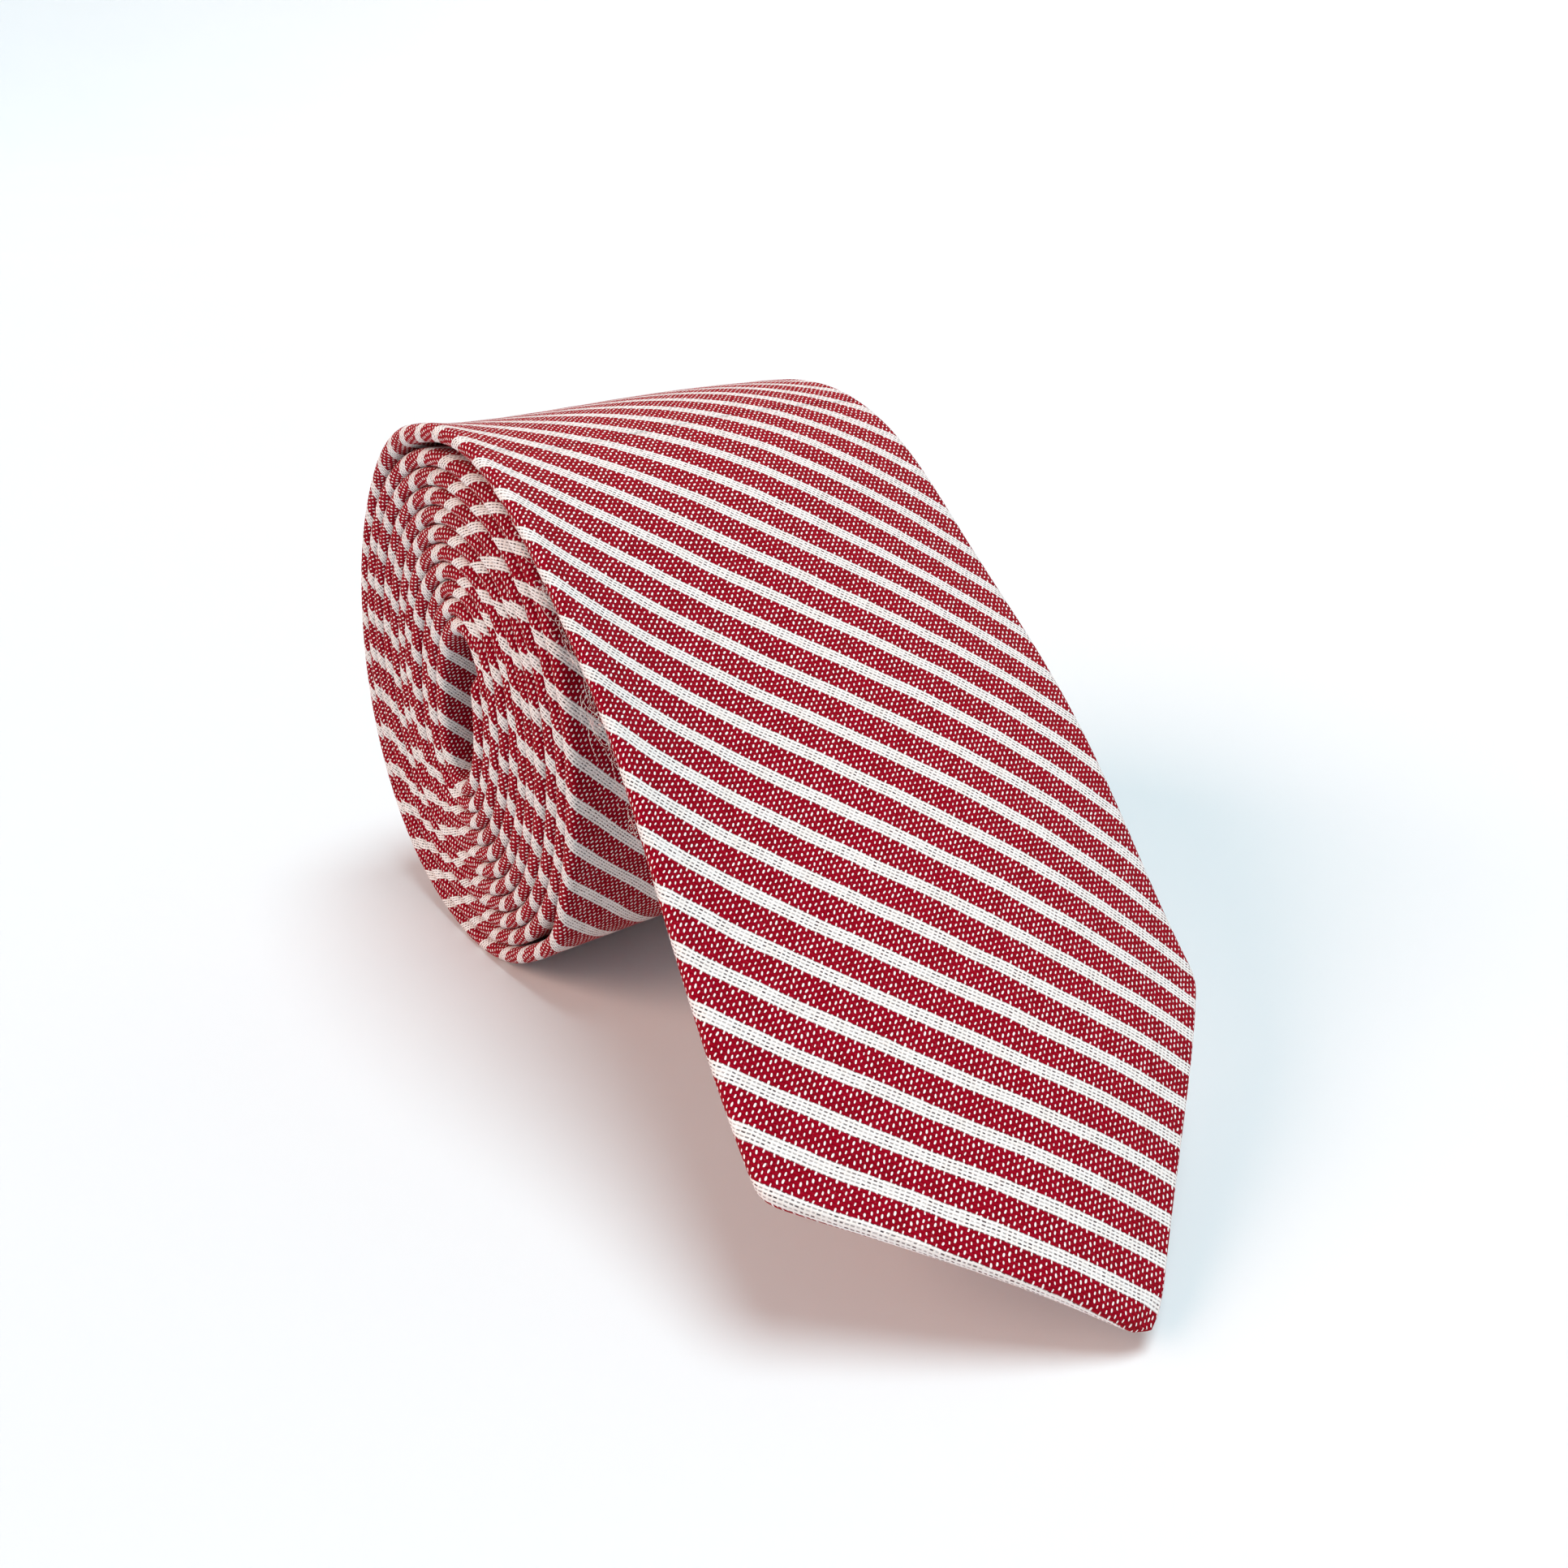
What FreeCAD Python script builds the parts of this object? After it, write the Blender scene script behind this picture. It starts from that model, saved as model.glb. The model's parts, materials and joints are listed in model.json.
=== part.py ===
"""A cotton necktie rolled up from its tail, its wide blade lying forward off the roll.

Frame: X runs along the roll's axis, the blade reaches towards -Y, +Z is up. The origin is
the middle of the flat strip the roll stands on. Lengths are in millimetres.

A station is a distance along the tie, counted towards the tail from the line between the
wide blade's two corners. The tip is therefore at minus half the blade's width. Across the
tie, "side" runs along +X from the middle line, and "rise" is the distance out of the tie's
middle layer towards its face.
"""
import FreeCAD
import Part
import Sketcher

import bisect
import math
import os

DIMENSIONS = {
    # the flat tie
    "blade_width": 60.0,
    "neck_width": 32.0,
    "tail_width": 39.0,
    "blade_taper_end": 480.0,
    "neck_end": 820.0,
    "tie_thickness": 2.0,
    "fabric_thickness": 0.36,
    "layer_clearance": 0.1,
    "seam_gap": 0.7,
    "piece_gap": 0.34,
    # the rolled part
    "roll_depth": 60.8,
    "roll_height": 72.1,
    "roll_tilt": 12.9,
    "roll_squareness": 2.18,
    "roll_turns": 11.2,
    "core_depth": 6.86,
    "core_height": 19.4,
    "first_turn_slack": 0.26,
    "left_edge": -30.0,
    "flat_depth": 0.1,
    # the free blade
    "lift_off_angle": 83.8,
    "lift_off_radius": 43.3,
    "blade_slope": 39.0,
    "tip_swing": 9.43,
    "swing_power": 1.3,
    "lift_station": 101.1,
    "bend_station": 61.7,
    # linings, loop, label and stitches
    "hem_width": 7.7,
    "tipping_peak": 54.9,
    "tipping_corner_station": 2.3,
    "tipping_side_hem": 10.0,
    "tipping_thickness": 0.26,
    "label_length": 12.0,
    "label_width": 26.0,
    "label_station": 15.4,
    "label_thickness": 0.26,
    "tack_width": 6.9,
    "tack_length": 1.2,
    "tack_thickness": 0.43,
    "slack_loop_radius": 2.6,
    "thread_width": 0.43,
    "loop_station": 125.0,
    "loop_length": 11.0,
    "loop_width": 36.0,
    "loop_thickness": 0.19,
    "loop_stitch_width": 1.0,
    "tail_tipping_length": 46.0,
    "tail_lining_thickness": 0.05,
    "tail_point_end_width": 3.4,
}

SAMPLES_PER_TURN = 48
OVAL_STEP = 1e-4
FLOOR_SIZE = 400.0
# How far a corner moves along the blade for each millimetre that its edges move in.
TIP_SHIFT = math.sqrt(2)
CORNER_SHIFT = math.tan(math.radians(22.5))
PEAK_SHIFT = 3.0


class Sheet:
    """The spreadsheet that holds every driving and worked-out dimension."""

    def __init__(self, document):
        self.cells = document.addObject("Spreadsheet::Sheet", "Dimensions")
        self.rows = 0
        self.values = {}
        for name, value in DIMENSIONS.items():
            self.add(name, value)

    def add(self, name, value):
        self.rows += 1
        self.cells.set("A%d" % self.rows, name)
        self.cells.set("B%d" % self.rows, repr(round(value, 6)))
        self.cells.setAlias("B%d" % self.rows, name)
        self.values[name] = value

    def __getattr__(self, name):
        return self.values[name]


# ---------------------------------------------------------------- the tie's middle layer

def oval_point(d, turn):
    """Middle layer of the spiral, `turn` turns inwards of the lift-off, about its centre."""
    tilt = math.radians(d.roll_tilt)
    angle = math.radians(d.lift_off_angle) - tilt - 2 * math.pi * turn
    slack = d.first_turn_slack * min(max(turn, 0.0), 1.0)
    fraction = turn / d.roll_turns
    outer_depth = (d.roll_depth - d.tie_thickness) / 2
    outer_height = (d.roll_height - d.tie_thickness) / 2
    depth = outer_depth - (outer_depth - d.core_depth / 2 - d.first_turn_slack) * fraction - slack
    height = outer_height - (outer_height - d.core_height / 2 - d.first_turn_slack) * fraction - slack
    power = d.roll_squareness
    stretch = abs(math.cos(angle) / depth) ** power + abs(math.sin(angle) / height) ** power
    radius = stretch ** (-1 / power)
    return radius * math.cos(angle + tilt), radius * math.sin(angle + tilt)


def oval_heading(d, turn):
    """Direction of travel towards the tail, in radians above +Y, unwrapped over the turns."""
    start = oval_point(d, turn - OVAL_STEP)
    end = oval_point(d, turn + OVAL_STEP)
    heading = math.atan2(end[1] - start[1], end[0] - start[0])
    expected = math.radians(d.lift_off_angle) - math.pi / 2 - 2 * math.pi * turn
    return heading + 2 * math.pi * round((expected - heading) / (2 * math.pi))


class Path:
    """Middle layer of the whole tie in the YZ plane, from the tip to the end of the tail."""

    def __init__(self, d):
        rolled = self.rolled_samples(d)
        shift_y, shift_z = self.resting_shift(d, rolled)
        rolled = [(y + shift_y, z + shift_z, heading) for y, z, heading in rolled]
        free = self.free_samples(d, rolled[0])
        samples = free + rolled
        self.stations = [-d.blade_width / 2]
        for before, after in zip(samples, samples[1:]):
            chord = math.hypot(after[0] - before[0], after[1] - before[1])
            bend = abs(after[2] - before[2]) / 2
            arc = chord * bend / math.sin(bend) if bend > 1e-6 else chord
            self.stations.append(self.stations[-1] + arc)
        self.samples = samples
        self.lift_off = self.stations[len(free)]
        self.end = self.stations[-1]

    @staticmethod
    def rolled_samples(d):
        count = int(round(d.roll_turns * SAMPLES_PER_TURN))
        turns = [d.roll_turns * i / count for i in range(count + 1)]
        return [oval_point(d, turn) + (oval_heading(d, turn),) for turn in turns]

    @staticmethod
    def resting_shift(d, rolled):
        """Puts the lowest point of the outer turn's face under the origin, just below zero."""
        faces = []
        for y, z, heading in rolled[:SAMPLES_PER_TURN]:
            rise = d.tie_thickness / 2
            faces.append((z + rise * math.cos(heading), y - rise * math.sin(heading)))
        lowest_z, lowest_y = min(faces)
        return -lowest_y, -lowest_z - d.flat_depth

    @staticmethod
    def free_samples(d, lift_off):
        """The blade leaves the roll in an arc and runs straight down to the floor."""
        y, z, heading = lift_off
        slope = math.radians(d.blade_slope)
        radius = d.lift_off_radius
        centre_y = y + radius * math.sin(heading)
        centre_z = z - radius * math.cos(heading)
        count = int(round((slope - heading) / math.radians(360 / SAMPLES_PER_TURN)))
        arc = []
        for i in range(count):
            angle = slope + (heading - slope) * i / count
            arc.append((centre_y - radius * math.sin(angle), centre_z + radius * math.cos(angle), angle))
        top_y, top_z, _ = arc[0]
        run = (top_z - d.tie_thickness / 2 * math.cos(slope)) / math.sin(slope)
        tip = (top_y - run * math.cos(slope), top_z - run * math.sin(slope), slope)
        return [tip] + arc

    def at(self, station):
        """Y, Z and heading of the middle layer at a station."""
        after = min(max(bisect.bisect_left(self.stations, station), 1), len(self.stations) - 1)
        low, high = self.stations[after - 1], self.stations[after]
        part = (station - low) / (high - low)
        pairs = zip(self.samples[after - 1], self.samples[after])
        return tuple(a + (b - a) * part for a, b in pairs)

    def between(self, start, end):
        """Stations from start to end with every sample in between."""
        margin = (end - start) * 1e-3
        inner = [s for s in self.stations if start + margin < s < end - margin]
        return [start] + inner + [end]


def tie_width(d, path, station):
    """Width of the tie, tapering from the blade to the neck and opening to the tail."""
    widths = [(0.0, d.blade_width), (d.blade_taper_end, d.neck_width),
              (d.neck_end, d.neck_width), (path.end, d.tail_width)]
    if station <= 0:
        return d.blade_width
    for (start, wide), (end, narrow) in zip(widths, widths[1:]):
        if station <= end:
            return wide + (narrow - wide) * (station - start) / (end - start)
    return d.tail_width


def middle_line(d, path, station):
    """X of the tie's middle: left edges line up in the roll, the free blade swings aside."""
    settled = max(station, path.lift_off)
    middle = d.left_edge + tie_width(d, path, settled) / 2
    free = (settled - station) / (path.lift_off + d.blade_width / 2)
    return middle - d.tip_swing * free ** d.swing_power


# ---------------------------------------------------------------- solids that follow the path

def ruled_face(rail, following):
    """Straight-lined face between two curves that share their knots."""
    surface = Part.BSplineSurface()
    surface.buildFromPolesMultsKnots([rail.getPoles(), following.getPoles()], [2, 2],
                                     rail.getMultiplicities(), [0.0, 1.0], rail.getKnots(),
                                     False, False, 1, rail.Degree)
    return surface.toShape()


def band(d, path, stations, section):
    """Solid swept along the tie. section(station) gives its outline as (side, rise) points."""
    rings = []
    for station in stations:
        y, z, heading = path.at(station)
        middle = middle_line(d, path, station)
        sine, cosine = math.sin(heading), math.cos(heading)
        rings.append([FreeCAD.Vector(middle + side, y - rise * sine, z + rise * cosine)
                      for side, rise in section(station)])
    rails = []
    for corner in zip(*rings):
        rail = Part.BSplineCurve()
        rail.interpolate(Points=list(corner), Parameters=stations)
        rails.append(rail)
    faces = [ruled_face(rail, following) for rail, following in zip(rails, rails[1:] + rails[:1])]
    faces += [Part.Face(Part.makePolygon(ring + ring[:1])) for ring in (rings[0], rings[-1])]
    shell = Part.Shell(faces)
    shell.sewShape()
    solid = Part.Solid(shell)
    if solid.Volume < 0:
        solid.reverse()
    return solid


def strip_outline(side_from, side_to, rise_from, rise_to):
    return [(side_from, rise_from), (side_from, rise_to), (side_to, rise_to), (side_to, rise_from)]


def envelope_outline(d, half_width):
    """Folded fabric with its two edges meeting at the middle of the back."""
    half = d.tie_thickness / 2
    fabric = d.fabric_thickness
    slit = d.seam_gap / 2
    inner_half = half - fabric
    inner_width = half_width - fabric
    return [(-slit, -half), (-half_width, -half), (-half_width, half), (half_width, half),
            (half_width, -half), (slit, -half), (slit, -inner_half), (inner_width, -inner_half),
            (inner_width, inner_half), (-inner_width, inner_half), (-inner_width, -inner_half),
            (-slit, -inner_half)]


def tail_half_width(d, path, station):
    """Half width near the tail's point, where the two sides run in at 45 degrees."""
    blunt = d.tail_point_end_width / 2 + path.end - station
    return min(tie_width(d, path, station) / 2, blunt)


def envelope(d, path, start, end):
    def section(station):
        return envelope_outline(d, tail_half_width(d, path, station))
    return band(d, path, path.between(start, end), section)


def filler(d, path, start, end):
    """Interlining between the two fabric layers."""
    rise = d.tie_thickness / 2 - d.fabric_thickness - d.layer_clearance
    inset = d.fabric_thickness + d.layer_clearance

    def section(station):
        half_width = tie_width(d, path, station) / 2 - inset
        return strip_outline(-half_width, half_width, -rise, rise)
    return band(d, path, path.between(start, end), section)


def seam_thread(d, path, start, end):
    """Slip stitch lying in the gap between the two folded edges."""
    clear = d.layer_clearance / 2
    low = clear - d.tie_thickness / 2
    high = d.fabric_thickness - d.tie_thickness / 2 - clear
    section = strip_outline(-d.thread_width / 2, d.thread_width / 2, low, high)
    return band(d, path, path.between(start, end), lambda station: section)


def patch(d, path, start, end, side_from, side_to, thickness):
    """Thin piece lying on the tie's back."""
    top = -d.tie_thickness / 2 - d.layer_clearance / 2
    section = strip_outline(side_from, side_to, top - thickness, top)
    return band(d, path, path.between(start, end), lambda station: section)


# ---------------------------------------------------------------- rolled pieces

def rolled_pieces(d, path):
    half_gap = d.piece_gap / 2
    seam_one = d.blade_taper_end
    seam_two = d.neck_end
    filler_joint = (seam_one + seam_two) / 2
    point_start = path.end - d.tail_width / 2
    corner = FreeCAD.Vector(-FLOOR_SIZE / 2, -FLOOR_SIZE / 2, -d.tie_thickness)
    floor = Part.makeBox(FLOOR_SIZE, FLOOR_SIZE, d.tie_thickness, corner)
    loop_end = d.loop_station + d.loop_length
    loop_half = d.loop_width / 2
    stitch = d.loop_stitch_width
    tipping_start = point_start - d.tail_tipping_length
    tail_thread_end = tipping_start - d.tack_length - d.piece_gap
    tack_half = d.tack_width / 2
    tail_side = d.tail_width / 2 - d.hem_width / 2
    return {
        "rolled_blade_shell": envelope(d, path, d.lift_station + half_gap, seam_one - half_gap).cut(floor),
        "neck_shell": envelope(d, path, seam_one + half_gap, seam_two - half_gap),
        "tail_shell": envelope(d, path, seam_two + half_gap, path.end),
        "rolled_interlining": filler(d, path, d.lift_station + half_gap, filler_joint - half_gap),
        "tail_interlining": filler(d, path, filler_joint + half_gap, point_start - half_gap),
        "rolled_slip_stitch": seam_thread(d, path, d.lift_station + half_gap, tail_thread_end),
        "keeper_loop": patch(d, path, d.loop_station, loop_end, -loop_half, loop_half, d.loop_thickness),
        "keeper_stitch_left": patch(d, path, d.loop_station, loop_end, -loop_half - d.piece_gap - stitch,
                                    -loop_half - d.piece_gap, d.loop_thickness),
        "keeper_stitch_right": patch(d, path, d.loop_station, loop_end, loop_half + d.piece_gap,
                                     loop_half + d.piece_gap + stitch, d.loop_thickness),
        "tail_bar_tack": patch(d, path, tail_thread_end + d.piece_gap / 2, tipping_start - d.piece_gap / 2,
                               -tack_half, tack_half, d.tail_lining_thickness),
        "tail_tipping": patch(d, path, tipping_start, point_start, -tail_side, tail_side,
                              d.tail_lining_thickness),
    }


def upper_blade_pieces(d, path):
    start = d.bend_station + d.piece_gap / 2
    end = d.lift_station - d.piece_gap / 2
    return {
        "upper_blade_shell": envelope(d, path, start, end),
        "upper_interlining": filler(d, path, start, end),
        "upper_slip_stitch": seam_thread(d, path, start, end),
    }


# ---------------------------------------------------------------- flat pieces of the lower blade

def blade_placement(d, path):
    """Local frame of the straight blade: X across, Y up the blade from the corners, Z its face."""
    y, z, heading = path.at(0.0)
    turn = FreeCAD.Rotation(FreeCAD.Vector(1, 0, 0), math.degrees(heading))
    return FreeCAD.Placement(FreeCAD.Vector(0, y, z), turn)


def add_worked_out(sheet, path):
    """Cells for the straight blade that come from the path."""
    bend_width = tie_width(sheet, path, sheet.bend_station)
    sheet.add("bend_width", bend_width)
    sheet.add("middle_at_bend", middle_line(sheet, path, sheet.bend_station))
    sheet.add("middle_at_corners", middle_line(sheet, path, 0.0))
    sheet.add("middle_at_tip", middle_line(sheet, path, -sheet.blade_width / 2))
    sheet.add("middle_at_label", middle_line(sheet, path, sheet.label_station))
    sheet.add("middle_at_peak", middle_line(sheet, path, sheet.tipping_peak))


def blade_outline(inset="0"):
    """Corners of the pointed blade, its side edges moved in by the expression inset."""
    edge = "Dimensions.blade_width / 2 - " + inset
    corner_y = "%f * (%s)" % (CORNER_SHIFT, inset)
    bend_edge = "Dimensions.bend_width / 2 - " + inset
    top = "Dimensions.bend_station - Dimensions.piece_gap / 2"
    return [
        ("Dimensions.middle_at_tip", "-Dimensions.blade_width / 2 + %f * (%s)" % (TIP_SHIFT, inset)),
        ("Dimensions.middle_at_corners + (%s)" % edge, corner_y),
        ("Dimensions.middle_at_bend + (%s)" % bend_edge, top),
        ("Dimensions.middle_at_bend - (%s)" % bend_edge, top),
        ("Dimensions.middle_at_corners - (%s)" % edge, corner_y),
    ]


def wall_outline(thickness):
    """The folded edges, which run down one side of the blade, round its point and up the other."""
    tip, right_corner, right_end, left_end, left_corner = blade_outline()
    inner_tip, inner_right, inner_right_end, inner_left_end, inner_left = blade_outline(thickness)
    return [tip, right_corner, right_end, inner_right_end, inner_right,
            inner_tip, inner_left, inner_left_end, left_end, left_corner]


def tipping_outline(inset="0"):
    """Kite of lining left bare between the tip's hems and the two fabric edges."""
    edge = "Dimensions.blade_width / 2 - Dimensions.tipping_side_hem - " + inset
    low = "-Dimensions.blade_width / 2 + %f * (Dimensions.hem_width + %s)" % (TIP_SHIFT, inset)
    return [
        ("Dimensions.middle_at_tip", low),
        ("Dimensions.middle_at_corners + " + edge, "Dimensions.tipping_corner_station"),
        ("Dimensions.middle_at_peak", "Dimensions.tipping_peak - %f * (%s)" % (PEAK_SHIFT, inset)),
        ("Dimensions.middle_at_corners - (%s)" % edge, "Dimensions.tipping_corner_station"),
    ]


def rectangle_outline(middle_x, middle_y, width, length):
    return [
        ("%s - %s / 2" % (middle_x, width), "%s - %s / 2" % (middle_y, length)),
        ("%s + %s / 2" % (middle_x, width), "%s - %s / 2" % (middle_y, length)),
        ("%s + %s / 2" % (middle_x, width), "%s + %s / 2" % (middle_y, length)),
        ("%s - %s / 2" % (middle_x, width), "%s + %s / 2" % (middle_y, length)),
    ]


def draw_polygon(sketch, corners):
    """Closed polygon whose corners are placed by expressions."""
    first = sketch.GeometryCount
    count = len(corners)
    for i in range(count):
        angle = 2 * math.pi * i / count
        following = 2 * math.pi * (i + 1) / count
        start = FreeCAD.Vector(math.cos(angle), math.sin(angle), 0)
        end = FreeCAD.Vector(math.cos(following), math.sin(following), 0)
        sketch.addGeometry(Part.LineSegment(start, end), False)
    for i in range(count):
        sketch.addConstraint(Sketcher.Constraint("Coincident", first + i, 2, first + (i + 1) % count, 1))
    for i, (across, along) in enumerate(corners):
        for kind, expression in (("DistanceX", across), ("DistanceY", along)):
            index = sketch.addConstraint(Sketcher.Constraint(kind, -1, 1, first + i, 1, 1.0))
            sketch.setExpression("Constraints[%d]" % index, expression)


def add_pad(document, body, name, outlines, rise, thickness):
    """Pad of a sketch that lies at height rise in the blade's own frame."""
    plane = next(f for f in body.Origin.OriginFeatures if f.Role == "XY_Plane")
    sketch = body.newObject("Sketcher::SketchObject", name + "_outline")
    sketch.AttachmentSupport = [(plane, "")]
    sketch.MapMode = "FlatFace"
    sketch.setExpression("AttachmentOffset.Base.z", rise)
    for corners in outlines:
        draw_polygon(sketch, corners)
    document.recompute()
    pad = body.newObject("PartDesign::Pad", name + "_pad")
    pad.Profile = sketch
    pad.setExpression("Length", thickness)
    document.recompute()
    return pad


def flat_body(document, name, placement, layers):
    """Body in the blade's frame. layers are (outlines, rise, thickness) of its pads."""
    body = document.addObject("PartDesign::Body", name)
    for number, (outlines, rise, thickness) in enumerate(layers):
        add_pad(document, body, "%s_%d" % (name, number), outlines, rise, thickness)
    body.Placement = placement
    document.recompute()
    return body


def slack_loop(document, name, placement, sheet):
    """Loop of spare thread left hanging at the end of the slip stitch."""
    loop = document.addObject("Part::Torus", name)
    loop.setExpression("Radius1", "Dimensions.slack_loop_radius")
    loop.setExpression("Radius2", "Dimensions.thread_width / 2")
    loop.Angle3 = 180
    drop = -sheet.tie_thickness / 2 - sheet.tack_thickness - sheet.thread_width
    base = FreeCAD.Vector(sheet.middle_at_peak, sheet.tipping_peak - sheet.tack_length, drop)
    half_turn = FreeCAD.Rotation(FreeCAD.Vector(0, 0, 1), 180)
    loop.Placement = placement.multiply(FreeCAD.Placement(base, half_turn))
    return loop


def lower_blade_pieces(document, sheet, placement):
    half = "Dimensions.tie_thickness / 2"
    fabric = "Dimensions.fabric_thickness"
    clear = "Dimensions.layer_clearance"
    edge = blade_outline()
    tack_middle = "Dimensions.tipping_peak + Dimensions.tack_length"
    below_back = "-%s - %s / 2" % (half, clear)
    return [
        flat_body(document, "lower_blade_shell", placement, [
            ([edge], "%s - %s" % (half, fabric), fabric),
            ([wall_outline(fabric)], "-%s + %s" % (half, fabric), "2 * (%s - %s)" % (half, fabric)),
            ([edge, tipping_outline()], "-" + half, fabric),
        ]),
        flat_body(document, "lower_interlining", placement, [
            ([blade_outline("(%s + %s)" % (fabric, clear))], "-%s + %s + %s" % (half, fabric, clear),
             "2 * (%s - %s - %s)" % (half, fabric, clear)),
        ]),
        flat_body(document, "blade_tipping", placement, [
            ([tipping_outline(clear)], "-" + half, "Dimensions.tipping_thickness"),
        ]),
        flat_body(document, "blank_label", placement, [
            ([rectangle_outline("Dimensions.middle_at_label", "Dimensions.label_station",
                                "Dimensions.label_width", "Dimensions.label_length")],
             below_back + " - Dimensions.label_thickness", "Dimensions.label_thickness"),
        ]),
        flat_body(document, "blade_bar_tack", placement, [
            ([rectangle_outline("Dimensions.middle_at_peak", tack_middle,
                                "Dimensions.tack_width", "Dimensions.tack_length")],
             below_back + " - Dimensions.tack_thickness", "Dimensions.tack_thickness"),
        ]),
        slack_loop(document, "slack_thread_loop", placement, sheet),
    ]


# ---------------------------------------------------------------- the whole tie

def fixed_shape(document, name, shape):
    piece = document.addObject("Part::Feature", name)
    piece.Shape = shape
    return piece


def check(piece):
    bad = [state for state in piece.State if state in ("Invalid", "Error")]
    if bad or piece.Shape.isNull() or not piece.Shape.isValid() or piece.Shape.Volume <= 0:
        raise RuntimeError("%s has a bad shape: %s" % (piece.Label, bad))


def write(pieces):
    os.makedirs("parts", exist_ok=True)
    for piece in pieces:
        check(piece)
        piece.Shape.exportStep("parts/%s.step" % piece.Label)
        box = piece.Shape.BoundBox
        print("%-22s %9.1f mm3  x %7.1f %7.1f  y %7.1f %7.1f  z %6.2f %6.2f" % (
            piece.Label, piece.Shape.Volume, box.XMin, box.XMax, box.YMin, box.YMax, box.ZMin, box.ZMax))


def main():
    document = FreeCAD.newDocument("necktie")
    sheet = Sheet(document)
    path = Path(sheet)
    add_worked_out(sheet, path)
    document.recompute()
    shapes = rolled_pieces(sheet, path)
    shapes.update(upper_blade_pieces(sheet, path))
    pieces = [fixed_shape(document, name, shape) for name, shape in shapes.items()]
    pieces += lower_blade_pieces(document, sheet, blade_placement(sheet, path))
    document.recompute()
    write(pieces)
    length = path.end + sheet.blade_width / 2
    print("length of the tie %.0f mm, lift-off at station %.1f" % (length, path.lift_off))
    for name, station in (("lift", sheet.lift_station), ("bend", sheet.bend_station)):
        y, z, heading = path.at(station)
        rise = sheet.tie_thickness / 2
        print("%s hinge y %.4f z %.4f" % (name, y - rise * math.sin(heading), z + rise * math.cos(heading)))


main()
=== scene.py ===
"""A rolled cotton necktie with crimson and white diagonal stripes. Metres, the CAD frame."""
import json
import math

import bpy
import numpy as np
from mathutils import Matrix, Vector


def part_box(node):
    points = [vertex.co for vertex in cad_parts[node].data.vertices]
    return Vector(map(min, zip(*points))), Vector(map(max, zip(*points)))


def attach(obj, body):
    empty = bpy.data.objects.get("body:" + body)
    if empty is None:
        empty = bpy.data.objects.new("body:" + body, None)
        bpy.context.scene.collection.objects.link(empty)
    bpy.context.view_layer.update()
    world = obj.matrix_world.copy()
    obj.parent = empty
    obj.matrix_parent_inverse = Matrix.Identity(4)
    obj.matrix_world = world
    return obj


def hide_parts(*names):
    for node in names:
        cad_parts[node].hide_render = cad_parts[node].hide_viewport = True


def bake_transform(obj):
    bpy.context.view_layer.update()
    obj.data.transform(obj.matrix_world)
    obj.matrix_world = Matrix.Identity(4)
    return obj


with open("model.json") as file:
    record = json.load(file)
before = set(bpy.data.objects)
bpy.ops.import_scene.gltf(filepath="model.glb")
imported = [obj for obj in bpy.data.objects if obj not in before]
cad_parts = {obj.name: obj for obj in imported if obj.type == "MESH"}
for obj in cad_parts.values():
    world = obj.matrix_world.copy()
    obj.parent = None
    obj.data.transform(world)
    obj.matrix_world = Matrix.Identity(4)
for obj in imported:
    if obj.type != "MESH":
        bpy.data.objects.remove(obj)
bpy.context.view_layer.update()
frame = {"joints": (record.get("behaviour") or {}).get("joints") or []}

MM = 0.001

# ------------------------------------------------------------------ the tie, laid flat
BLADE_WIDTH = 0.060
NECK_WIDTH = 0.032
TAIL_WIDTH = 0.039
TAPER_END = 0.480
NECK_END = 0.820
THICKNESS = 0.0020
HEM = 0.0077
TIPPING_PEAK = 0.0549
POINT_CORNER = -0.0025
POINT_APEX = -0.0302
TIP_ROUNDING = 0.0026
CORNER_ROUNDING = 0.0016
TAIL_END_WIDTH = 0.0034
THINNEST = 0.00012
SEAM_HALF_GAP = 0.0002
SEAM_DEPTH = 0.0005
LINING_DEPTH = 0.0004
FOLD_PUFF = 0.10
FOLD_PUFF_REACH = 0.0026

# ------------------------------------------------------------------ the roll
ROLL_DEPTH = 0.0608
ROLL_HEIGHT = 0.0721
ROLL_TILT = math.radians(12.9)
ROLL_SQUARENESS = 2.18
ROLL_TURNS = 11.2
CORE_DEPTH = 0.00686
CORE_HEIGHT = 0.0194
FIRST_TURN_SLACK = 0.00026
LIFT_OFF_ANGLE = math.radians(83.8)
SAMPLES_PER_TURN = 180
# The outermost turn stands off the next one at the lower front (turns after the lift-off).
GAP_TURN = 0.60
GAP_REACH = 0.032
GAP_WIDTH = 0.0013

# ------------------------------------------------------------------ the free blade
LIFT_OFF = 0.1012
BEND_STATION = 0.0617
BLADE_SLOPE = math.radians(39.0)
TIP_DROOP = math.radians(7.5)
BEND_START = 0.0566
BEND_SKEW = 1.2
FREE_STEP = 0.0005

# The blade leans to its left, and steps further aside towards its point.
LEAN = 0.044
LEAN_END = 0.106
LEAN_END_X = -0.0039
SIDE_STEP = 0.0031
SIDE_STEP_SPAN = (-0.006, 0.045)
# Its middle stands above its edges towards the point.
CROWN = 0.0036
CROWN_SPAN = (-0.008, 0.054)
# Between middle and folds one half dips and the other rises, most where the blade bends.
SKEW = 0.0007
SKEW_SPAN = (0.080, 0.129)
# A swell is its size, the station of its middle and its reach to each side.
SKEW_SWELL = (0.0008, 0.050, 0.020)
EDGE_SWELL = (0.00032, 0.067, 0.032)
# Turn of the cross-section about the blade's length, in radians.
TIP_TWIST = -0.20
TIP_TWIST_SPAN = (-0.034, -0.003)
TWIST_SWELL = (0.05, 0.025, 0.022)
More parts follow.
